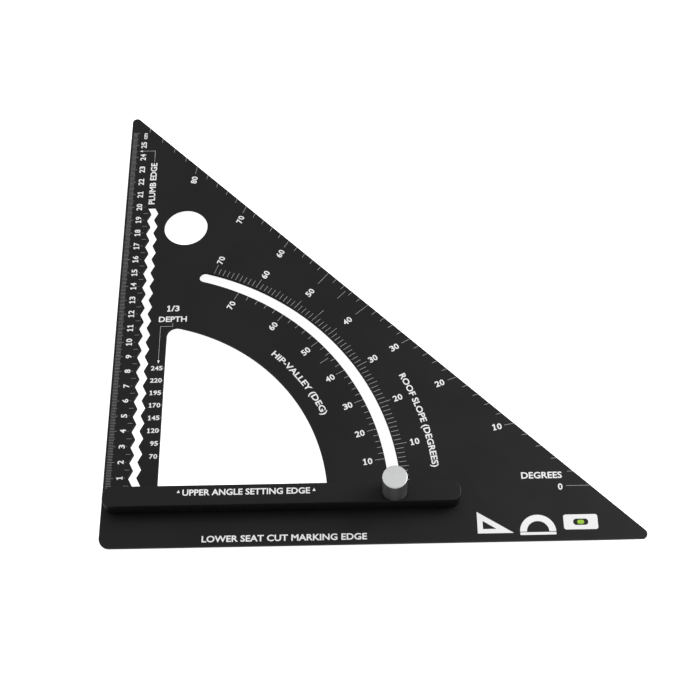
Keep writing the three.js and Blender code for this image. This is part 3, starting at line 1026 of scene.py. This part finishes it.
# %% A fan of lines about the pivot
def fan_tree():
    """Lines beside rays from the pivot, at First, First + Step and so on.

    Each ray is turned by atan(Slope * tan(number)), so that a hip scale can use the same tree.
    """
    sizes = {
        "Count": 10, "First": 0.0, "Step": 1.0, "Slope": 1.0, "Beside": EDGE_ABOVE, "Start": 160.0,
        "Straight Edge": 0.0, "Reach": 270.0, "Inward": 0.0,
    }
    tree, entry = new_tree("fan_of_lines", sizes | LINE_SIZES)
    points = out(tree, "GeometryNodeMeshLine", Count=entry["Count"], Offset=(0, 0, 0))
    number = entry["First"] + out(tree, "GeometryNodeInputIndex") * entry["Step"]
    turn = (number.to("RADIANS").to("TANGENT") * entry["Slope"]).to("ARCTANGENT")
    along_x, along_y = turn.to("COSINE"), turn.to("SINE")
    to_edge = (entry["Reach"] - entry["Beside"] * (along_x - along_y)) / (along_x + along_y)
    length = tiered(number, entry)
    start = entry["Start"] + to_edge * entry["Straight Edge"] - length * entry["Inward"]
    place = out(
        tree, "ShaderNodeCombineXYZ",
        X=start * along_x - entry["Beside"] * along_y, Y=start * along_y + entry["Beside"] * along_x,
    )
    set_out = out(tree, "GeometryNodeSetPosition", Geometry=points, Position=place)
    rotation = out(tree, "ShaderNodeCombineXYZ", Z=turn)
    return blocks_on(tree, entry, set_out, length, Rotation=rotation)


ROW, FAN = row_tree(), fan_tree()


# %% Print several rows or fans as one piece
def printed(name, pieces, body="square", ink=WHITE_INK, level=PLATE_TOP):
    """Joins pieces made at Z = 0 and sets them on a surface, a little way into it."""
    whole = joined(name, pieces)
    whole.data.transform(Matrix.Translation((0, 0, level - INK_SUNK)))
    return finished(whole, name, body, ink, sharp=radians(20))


def printed_lines(name, *pieces):
    """Lines keep the thin ink that their trees gave them."""
    return printed(name, pieces, ink=None)


def tiers(short, middle=None, long=None):
    return {"Short": short, "Middle": middle or short, "Long": long or short}


def row(x, y, **sizes):
    piece = grown(ROW, GREY_INK, **sizes)
    piece.data.transform(Matrix.Translation((x, y, 0)))
    return piece


def fan(**sizes):
    piece = grown(FAN, GREY_INK, **sizes)
    piece.data.transform(Matrix.Translation((*PIVOT, 0)))
    return piece


# %% The ruler's lines, the pencil slot's lines and the rafter lines
RULER_X, RULER_CM = 1.3, 26
RAFTER_LABELS, SCALE_THIRD, RAFTER_STEP = range(70, 246, 25), 1 / 3, 25
printed_lines(
    "ruler_lines",
    row(RULER_X, SETTING_EDGE, Count=10 * RULER_CM + 1, Width=RULER_LINE, **tiers(2.9, 3.4, 4.2)),
)
printed_lines(
    "pencil_slot_lines",
    row(TOOTH_LEFT - 2.3, SETTING_EDGE + 5, Count=2 * TOOTH_COUNT, Pitch=5.0, First_Number=1,
        Middle_Every=1, Long_Every=2, Width=RULER_LINE, **tiers(2.9, 2.9, 0.8)),
)
printed_lines(
    "rafter_lines",
    row(WINDOW_LEFT - 0.85, SETTING_EDGE + RAFTER_LABELS[0] * SCALE_THIRD, Count=len(RAFTER_LABELS),
        Pitch=RAFTER_STEP * SCALE_THIRD, **tiers(0.7)),
)

# %% The three angle scales
ARC_START, HIP_START, HIP_SLOPE = 161.6, 154.0, 1 / sqrt(2)
REACH = LEG - PIVOT[0] - PIVOT[1]
printed_lines(
    "roof_scale_lines",
    fan(Count=71, Start=ARC_START, **tiers(4.4, 5.2, 6.8)),
    fan(Count=1, First=45.0, Start=167.4, **tiers(4.4)),
)
hip = {"Step": 2.0, "Slope": HIP_SLOPE, "Inward": 1.0}
printed_lines(
    "hip_scale_lines",
    fan(Count=31, First=10.0, Start=HIP_START, Middle_Every=10, **tiers(3.0, 3.0, 5.7), **hip),
    fan(Count=1, First=45.0, Start=151.1, **tiers(6.0), **hip),
)
edge = {"Straight_Edge": 1.0, "Reach": REACH, "Inward": 1.0}
printed_lines(
    "long_edge_scale_lines",
    fan(Count=45, Step=2.0, Start=-0.3, Middle_Every=10, **tiers(3.2, 3.2, 5.7), **edge),
    fan(Count=2, First=40.0, Step=10.0, Start=-6.02, **tiers(4.3), **edge),
    fan(Count=1, Start=-6.02, **tiers(7.8), **edge),
    fan(Count=1, First=45.0, Start=190.8, Inward=1.0, **tiers(7.2)),
)

# %% [markdown]
# ## Printed numbers and words
# Blender's own font is plain enough for a tool. Each word is made as text one unit tall, thickened a
# little, turned into a mesh, and only then scaled, bent or placed, so its place lies in its mesh. The
# words here are general ones that say what a scale is for.

# %% Flat shapes, lines and arrowheads
def flat_shape(points, holes=()):
    return slab("shape", [Vector(p) for p in points], 0, INK + INK_SUNK, holes=holes)


def stroke(points, width):
    """A bent line of even width, as a flat shape."""
    path = [Vector(p) for p in points]
    sides = []
    for i, here in enumerate(path):
        before, after = path[max(i - 1, 0)], path[min(i + 1, len(path) - 1)]
        first = (here - before).normalized() if i else (after - here).normalized()
        second = (after - here).normalized() if i < len(path) - 1 else first
        out = (first.orthogonal() + second.orthogonal()) / (1 + first.dot(second))
        sides.append((here + out * width / 2, here - out * width / 2))
    return flat_shape([a for a, b in sides] + [b for a, b in reversed(sides)])


def arrowhead(tip, degrees, length=2.2, width=1.5):
    back = Vector(tip) - Vector(polar((0, 0), length, degrees))
    side = Vector(polar((0, 0), width / 2, degrees + 90))
    return flat_shape([tip, back + side, back - side])


# %% Write a word as a thin block
CAP_UNIT, CAP_MIDDLE, BOLDER = 0.764, 0.341, 0.022


def written(words, centre, cap, turn=0.0, width=None, bend=None):
    """Words centred on a place, cap millimetres tall, turned, or bent round the place at a radius."""
    curve = bpy.data.curves.new("words", "FONT")
    curve.body, curve.size, curve.resolution_u = words, 1.0, 3
    curve.offset, curve.extrude = BOLDER, 0.5
    letters = bpy.data.objects.new("words", curve)
    bpy.context.scene.collection.objects.link(letters)
    mesh = evaluated_mesh(letters)
    bpy.data.objects.remove(letters)
    xs, ys = [v.co.x for v in mesh.vertices], [v.co.y for v in mesh.vertices]
    middle_x = (min(xs) + max(xs)) / 2
    middle_y = (min(ys) + max(ys)) / 2 if words.islower() else CAP_MIDDLE
    scale = cap / CAP_UNIT
    across = width / (max(xs) - min(xs)) if width else scale
    angle = radians(turn)
    for v in mesh.vertices:
        x, y = (v.co.x - middle_x) * across, (v.co.y - middle_y) * scale
        if bend:
            around = angle - x / bend
            x, y = (bend + y) * cos(around), (bend + y) * sin(around)
        else:
            x, y = x * cos(angle) - y * sin(angle), x * sin(angle) + y * cos(angle)
        v.co = (centre[0] + x, centre[1] + y, (v.co.z + 0.5) * (INK + INK_SUNK))
    piece = bpy.data.objects.new("words", mesh)
    bpy.context.scene.collection.objects.link(piece)
    return piece


# %% Write a number digit by digit
ONE = [
    (-0.25, 0), (0.25, 0), (0.25, 0.15), (0.1, 0.15), (0.1, 1), (-0.06, 1),
    (-0.27, 0.83), (-0.27, 0.67), (-0.1, 0.77), (-0.1, 0.15), (-0.25, 0.15),
]
DIGIT_PITCH = 0.72


def number(value, centre, cap, turn=0.0, wide=1.0):
    """A whole number with evenly spaced digits. The font's 1 has no foot, so it is drawn here."""
    digits = str(value)
    pieces = []
    for i, digit in enumerate(digits):
        shift = Vector(((i - (len(digits) - 1) / 2) * DIGIT_PITCH * cap * wide, 0))
        if digit == "1":
            glyph = flat_shape([(x * cap, (y - 0.5) * cap) for x, y in ONE])
            glyph.data.transform(Matrix.Diagonal((wide, 1, 1, 1)))
        else:
            glyph = written(digit, (0, 0), cap, width=0.66 * cap * wide)
        glyph.data.transform(Matrix.Translation((*shift, 0)))
        pieces.append(glyph)
    whole = joined("number", pieces)
    whole.data.transform(Matrix.Translation((*centre, 0)) @ Matrix.Rotation(radians(turn), 4, "Z"))
    return whole


# %% Numbers along the ruler and the window
ruler_numbers = [
    number(n, (9.1 if n < 10 else 8.7, SETTING_EDGE + 10 * n), 3.7, 90) for n in range(1, RULER_CM)
]
ruler_numbers.append(written("cm", (9.5, 290.1), 3.2, 90, width=4.9))
printed("ruler_numbers", ruler_numbers)

RAFTER_RIGHT, RAFTER_CAP, RAFTER_WIDE = 29.9, 3.1, 1.07
rafter_numbers = []
for k in RAFTER_LABELS:
    width = (DIGIT_PITCH * (len(str(k)) - 1) + 0.66) * RAFTER_CAP * RAFTER_WIDE
    place = (RAFTER_RIGHT - width / 2, SETTING_EDGE + k * SCALE_THIRD)
    rafter_numbers.append(number(k, place, RAFTER_CAP, 0, RAFTER_WIDE))
printed("rafter_numbers", rafter_numbers)


# %% Numbers on the angle scales
def beside_ray(degrees, along, beside):
    ray, side = polar((0, 0), along, degrees), polar((0, 0), beside, degrees + 90)
    return PIVOT[0] + ray[0] + side[0], PIVOT[1] + ray[1] + side[1]


NUMBER_CAP, NUMBER_BESIDE = 4.0, 5.4
ROOF_NUMBERS = {70: 172.2, 60: 172.7, 50: 176.2, 40: 176.6, 30: 172.5, 20: 172.9, 10: 173.1}
EDGE_NUMBERS = {80: 228.9, 70: 204.9, 60: 190.6, 30: 187.4, 20: 199.5, 10: 221.7}
HIP_NUMBERS_AT = 144.0


def scale_numbers(places):
    return [number(n, beside_ray(n, s, NUMBER_BESIDE), NUMBER_CAP, n) for n, s in places.items()]


printed("roof_scale_numbers", scale_numbers(ROOF_NUMBERS))
printed("long_edge_numbers", scale_numbers(EDGE_NUMBERS) + [number(0, (259.0, 32.2), NUMBER_CAP)])
hip_numbers = []
for n in range(70, 0, -10):
    turn = degrees_of(1, tan(radians(n)) * HIP_SLOPE)
    hip_numbers.append(number(n, beside_ray(turn, HIP_NUMBERS_AT, NUMBER_BESIDE), NUMBER_CAP, turn))
printed("hip_scale_numbers", hip_numbers)

# %% Words on the plate
def on_arc(words, radius, start, end):
    """Words bent round the pivot, from one angle to another."""
    return written(words, PIVOT, 4.0, (start + end) / 2, radius * radians(start - end), bend=radius)


printed(
    "plate_words",
    [
        written("DEGREES", (249, 39.5), 4.2, 0, width=23),
        on_arc("HIP-VALLEY (DEG)", 130, 47.9, 24.7),
        on_arc("ROOF SLOPE (DEGREES)", 182, 26.1, 6.0),
        written("/3", (35.5, 156), 4.2, 0, width=5.0),
        number(1, (31.6, 156), 4.2),
        written("DEPTH", (34.3, 148.4), 4.0, 0, width=17),
        written("PLUMB EDGE", (16.3, 251.3), 4.2, 90, width=32.9),
        written("LOWER SEAT CUT MARKING EDGE", (103.5, 4.3), 4.0, 0, width=91.9),
    ],
)
fence_words = written("UPPER ANGLE SETTING EDGE", (82.6, 28.1), 3.9, 0, width=71.3)
printed("fence_words", [fence_words], body="fence", level=BAR_TOP)


# %% Leaders, arrows and the small triangles
THIN = 0.12
printed(
    "leaders_and_arrows",
    [
        stroke([(34.4, 145.6), (34.4, 143.3), (27.1, 143.3), (27.1, 119.7)], THIN),
        arrowhead((27.15, 117.5), -90),
        stroke([(16.4, 268.7), (16.4, 277.7), (8.6, 277.7)], THIN),
        arrowhead((6.3, 277.7), 180, 1.9, 1.4),
    ],
)
printed(
    "fence_triangles",
    [
        flat_shape([(43.8, 28.0), (45.6, 28.0), (44.7, 29.8)]),
        flat_shape([(119.6, 27.7), (121.4, 27.7), (120.5, 29.5)]),
    ],
    body="fence", level=BAR_TOP,
)

# %% Three plain tool pictograms
BADGE_LOW, BADGE_HIGH = 4.6, 17.6
VIAL_HALF, VIAL_MIDDLE = 1.9, Vector((268.5, 10.5))


set_square = flat_shape(
    [(211, BADGE_LOW), (231, BADGE_LOW), (211, BADGE_HIGH)],
    holes=[[Vector(p) for p in ((214, 7.2), (214, 12.1), (221.5, 7.2))]],
)
half_ring = arc((244.5, BADGE_LOW + 0.6), 10, 0, 180, 5) + arc((244.5, BADGE_LOW + 0.6), 6.2, 180, 0, 6)
protractor_foot = rounded_box(234.5, BADGE_LOW - 1.4, 254.5, BADGE_LOW + 0.2, 0.4)
vial_x, vial_y = VIAL_MIDDLE
vial_window = rounded_box(vial_x - 4.2, vial_y - VIAL_HALF, vial_x + 4.2, vial_y + VIAL_HALF, 1.8)
level_bar = flat_shape(rounded_box(259, 6, 278, 15, 1.4), holes=[vial_window])
printed("tool_pictograms", [set_square, flat_shape(half_ring), flat_shape(protractor_foot), level_bar])
bubble = rounded_box(vial_x - 1.9, vial_y - 1.2, vial_x + 1.9, vial_y + 1.2, 1.1)
printed("level_bubble", [flat_shape(bubble)], ink=GREEN_INK)
print("marks:", sum(name.split("_")[-1] in ("lines", "numbers", "words") for name in made))

# %% [markdown]
# ## Table, light and camera
# The square lies on a plain white sheet. Black anodising shows almost nothing but reflections, so its
# grey is set by what stands round it: an even white world, a strong broad lamp on the right and a weak
# one on the left. Big lamps keep every shadow soft. The sheet is clear from below, so that the
# underside can be looked at.

# %% The floor
FLOOR_GAP, FLOOR_HALF = 0.0002, 3
corners = [(-1, -1), (1, -1), (1, 1), (-1, 1)]
sheet = [(x * FLOOR_HALF, y * FLOOR_HALF, -FLOOR_GAP) for x, y in corners]
floor = solid("floor", sheet, [(0, 1, 2, 3)])
paper, tree, surface = new_material("white_paper_floor")
fibre = out(tree, "ShaderNodeTexNoise", Vector=placed_coordinates(tree), Scale=900.0, Detail=3.0)
fibre_bump = out(tree, "ShaderNodeBump", Strength=0.2, Distance=0.00005, Height=fibre)
lit = out(
    tree, "ShaderNodeBsdfPrincipled", Base_Color=(0.9, 0.9, 0.9, 1), Roughness=0.9, Normal=fibre_bump
)
seen = signals(wired(tree, "ShaderNodeLightPath"))["Is Camera Ray"]
glow = out(tree, "ShaderNodeEmission", Color=(1, 1, 1, 1), Strength=seen * 0.9)
white = in_order(tree, "ShaderNodeAddShader", lit, glow).outputs[0]
backfacing = wired(tree, "ShaderNodeNewGeometry")["Backfacing"]
nothing = out(tree, "ShaderNodeBsdfTransparent")
feed(surface, in_order(tree, "ShaderNodeMixShader", backfacing, white, nothing).outputs[0])
floor.data.materials.append(paper)

# %% The lights
scene = bpy.context.scene
scene.view_settings.view_transform = "Standard"
world = bpy.data.worlds.new("soft_studio")
world.use_nodes = True
scene.world = world
backdrop = world.node_tree.nodes["Background"]
backdrop.inputs["Color"].default_value = (1, 1, 1, 1)
backdrop.inputs["Strength"].default_value = 0.5


def softbox(name, place, aim, size, power):
    lamp = bpy.data.lights.new(name, "AREA")
    lamp.shape, lamp.size, lamp.size_y, lamp.energy = "RECTANGLE", size[0], size[1], power
    holder = bpy.data.objects.new(name, lamp)
    scene.collection.objects.link(holder)
    holder.location = place
    holder.rotation_mode = "QUATERNION"
    holder.rotation_quaternion = (Vector(aim) - Vector(place)).to_track_quat("-Z", "Y")
    return holder


softbox("left_softbox", (-1.7, 0.35, 1.15), (0, 0, 0), (1.0, 1.0), 7)
softbox("right_softbox", (1.6, 0.55, 1.25), (0, 0, 0), (1.2, 1.2), 42)

# %% The camera
EYE = FROM_HEEL @ Vector((150.0392, -305.7621, 747.0392))
AIM = FROM_HEEL @ Vector((141.5304, 124.1991, 12.3))
ROLL, LENS = -2.1407, 73.266
lens = bpy.data.cameras.new("camera")
lens.lens, lens.sensor_width = LENS, 36.0
camera = bpy.data.objects.new("camera", lens)
scene.collection.objects.link(camera)
camera.location = EYE
camera.rotation_mode = "QUATERNION"
camera.rotation_quaternion = (AIM - EYE).to_track_quat("-Z", "Y") @ Quaternion((0, 0, 1), radians(ROLL))
scene.camera = camera
